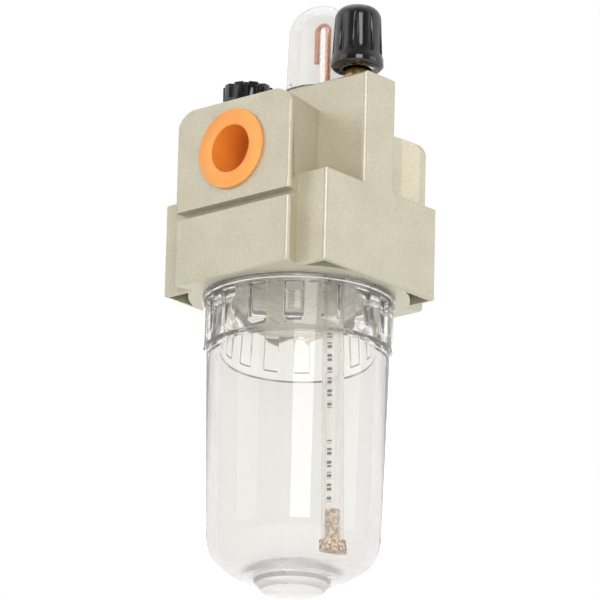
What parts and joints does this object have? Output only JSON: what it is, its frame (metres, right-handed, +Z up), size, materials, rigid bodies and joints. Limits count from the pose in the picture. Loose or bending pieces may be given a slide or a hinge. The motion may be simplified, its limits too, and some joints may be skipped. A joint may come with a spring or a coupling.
{
  "type": "air line lubricator",
  "caption": "Compact air line lubricator: cast port block with clamp flanges, clear screw-in oil bowl, sight dome with drip tube, needle valve knob, fill plug and inlet dust plug.",
  "frame": {"origin": "centre of the outlet port at its clamp face", "axes": "+X the way the air leaves the outlet port, +Y across the flow towards the fill plug, +Z up"},
  "size_m": [0.0408, 0.04, 0.1151],
  "materials": {
    "painted_casting": "satin champagne paint on die-cast aluminium",
    "clear_polycarbonate": "clear moulded",
    "clear_nylon": "translucent",
    "orange_polyethylene": "soft moulded",
    "black_plastic": "gloss moulded",
    "nitrile_rubber": "matte",
    "turned_brass": "turned",
    "copper_tube": "drawn",
    "sintered_bronze": "sintered, grainy",
    "ball_steel": "polished"
  },
  "bodies": {
    "housing": {"body": "painted_casting", "sight_dome": "clear_polycarbonate", "dome_o_ring": "nitrile_rubber", "drip_tube": "copper_tube", "needle_bush": "turned_brass", "oil_nipple": "turned_brass", "oil_tube": "clear_nylon", "sintered_filter": "sintered_bronze", "air_valve_body": "turned_brass", "damper_holder": "turned_brass"},
    "needle_lift": {"needle_o_ring": "nitrile_rubber"},
    "needle": {"adjusting_knob": "black_plastic", "needle_stem": "turned_brass"},
    "plug_lift": {"fill_plug_o_ring": "nitrile_rubber"},
    "plug": {"fill_plug": "black_plastic"},
    "bowl_drop": {"bowl_o_ring": "nitrile_rubber"},
    "oil_bowl": {"bowl": "clear_polycarbonate"},
    "dust_plug": {"inlet_dust_plug": "orange_polyethylene"},
    "oil_ball": {"oil_check_ball": "ball_steel"},
    "air_ball": {"air_check_ball": "ball_steel"},
    "vane": {"damper_vane": "nitrile_rubber"}
  },
  "joints": [
    {"name": "needle_rise", "type": "slide", "parent": "housing", "child": "needle_lift", "axis": [0, 0, 1], "range_m": [0, 0.0015]},
    {"name": "knob_turn", "type": "hinge", "parent": "needle_lift", "child": "needle", "pos_m": [-0.0219, -0.0147, 0.024], "axis": [0, 0, 1], "range_deg": [0, 1080]},
    {"name": "plug_rise", "type": "slide", "parent": "housing", "child": "plug_lift", "axis": [0, 0, 1], "range_m": [0, 0.006]},
    {"name": "plug_turn", "type": "hinge", "parent": "plug_lift", "child": "plug", "pos_m": [-0.0209, 0.0134, 0.0175], "axis": [0, 0, 1], "range_deg": [0, 2160]},
    {"name": "bowl_fall", "type": "slide", "parent": "housing", "child": "bowl_drop", "axis": [0, 0, -1], "range_m": [0, 0.009]},
    {"name": "bowl_turn", "type": "hinge", "parent": "bowl_drop", "child": "oil_bowl", "pos_m": [-0.02, 0, -0.0243], "axis": [0, 0, -1], "range_deg": [0, 2160]},
    {"name": "dust_plug_pull", "type": "slide", "parent": "housing", "child": "dust_plug", "axis": [-1, 0, 0], "range_m": [0, 0.0095]},
    {"name": "oil_ball_rise", "type": "slide", "parent": "housing", "child": "oil_ball", "axis": [0, 0, 1], "range_m": [0, 0.0011]},
    {"name": "air_ball_rise", "type": "slide", "parent": "housing", "child": "air_ball", "axis": [0, 0, 1], "range_m": [0, 0.0012]},
    {"name": "vane_swing", "type": "hinge", "parent": "housing", "child": "vane", "pos_m": [-0.0252, 0, 0.0026], "axis": [0, -1, 0], "range_deg": [0, 50]}
  ],
  "couplings": [
    {"joint": "knob_turn", "follows": "needle_rise", "rad_per_m": 12566},
    {"joint": "plug_turn", "follows": "plug_rise", "rad_per_m": 6283.2},
    {"joint": "bowl_turn", "follows": "bowl_fall", "rad_per_m": 4188.8}
  ]
}
